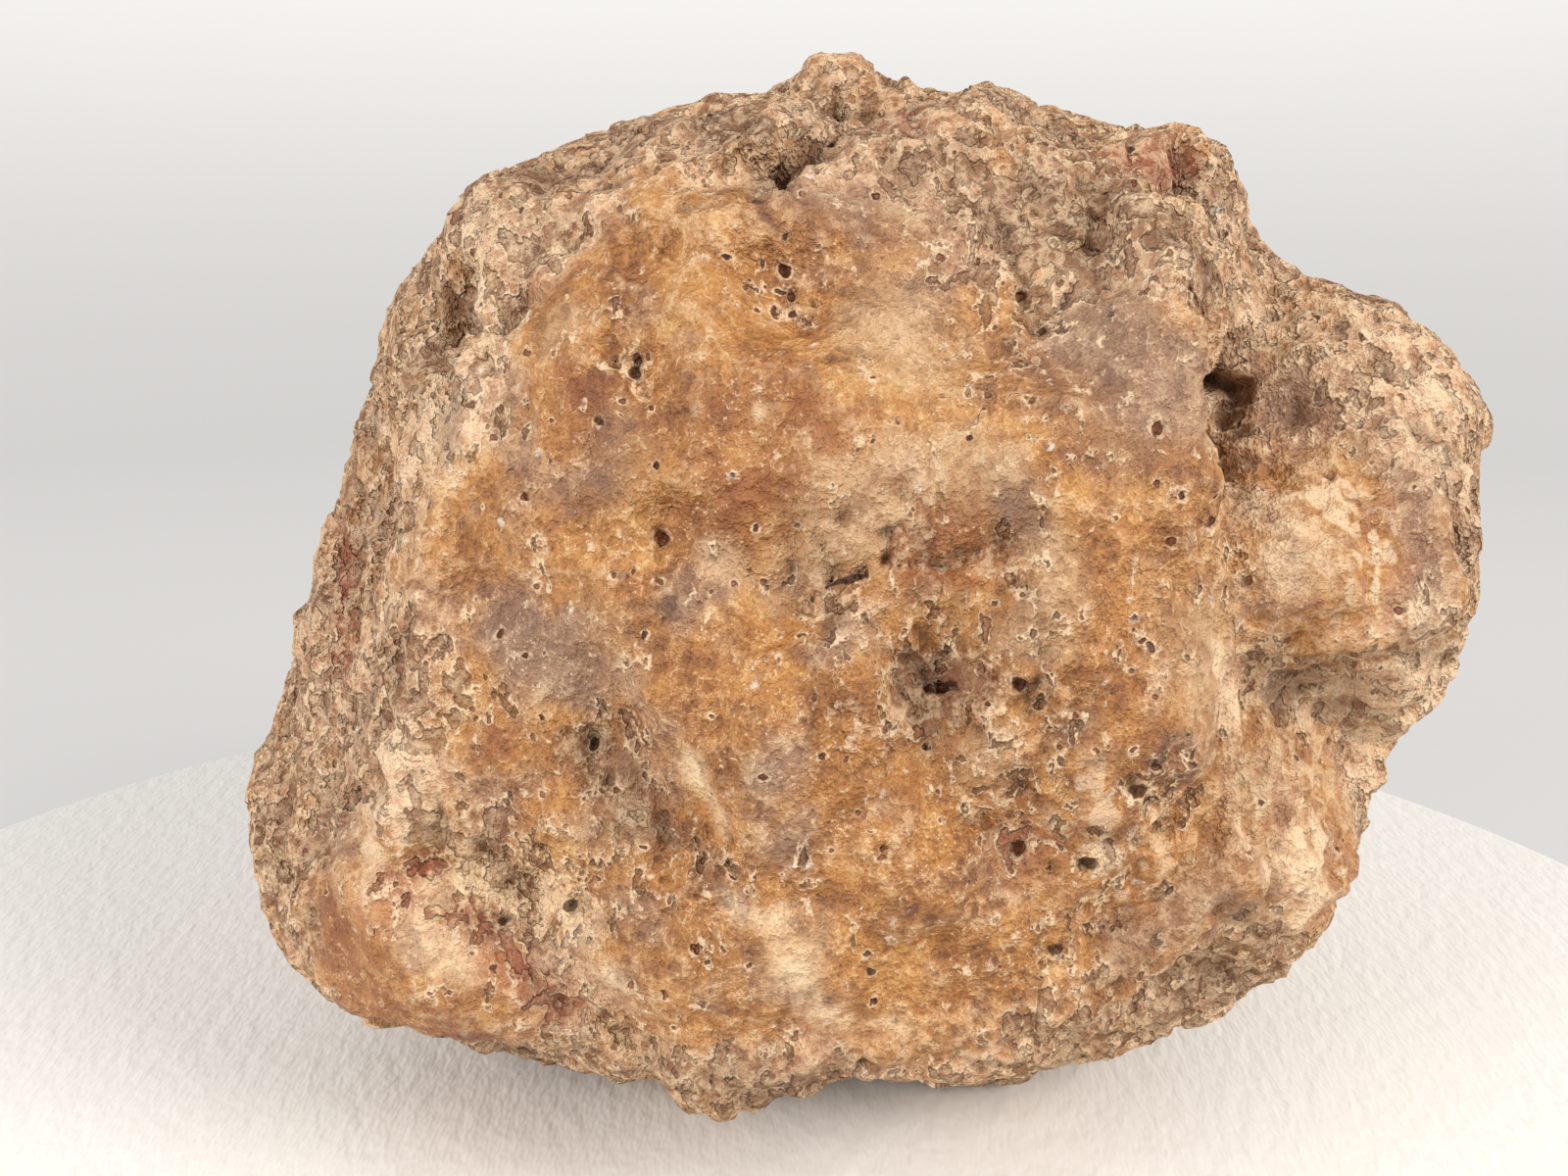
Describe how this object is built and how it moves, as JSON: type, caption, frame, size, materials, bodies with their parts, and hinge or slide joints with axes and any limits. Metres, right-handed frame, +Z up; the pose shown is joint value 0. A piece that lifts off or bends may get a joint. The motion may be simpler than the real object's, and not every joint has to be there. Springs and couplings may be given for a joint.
{
  "type": "geode",
  "caption": "Whole uncut geode: a heavy, knobbly chalcedony nodule with a waxy orange-brown front, pitted crust, ledges and small vugs; it lies loose on its underside.",
  "frame": {"origin": "middle of the bounding box in plan, on the plane the stone stands on", "axes": "+X along the stone's longest way, -Y out of its front, +Z up"},
  "size_m": [0.1484, 0.129, 0.1294],
  "materials": {
    "chalcedony": "waxy, mottled, pitted"
  },
  "bodies": {
    "root": {"geode": "chalcedony"}
  },
  "joints": []
}
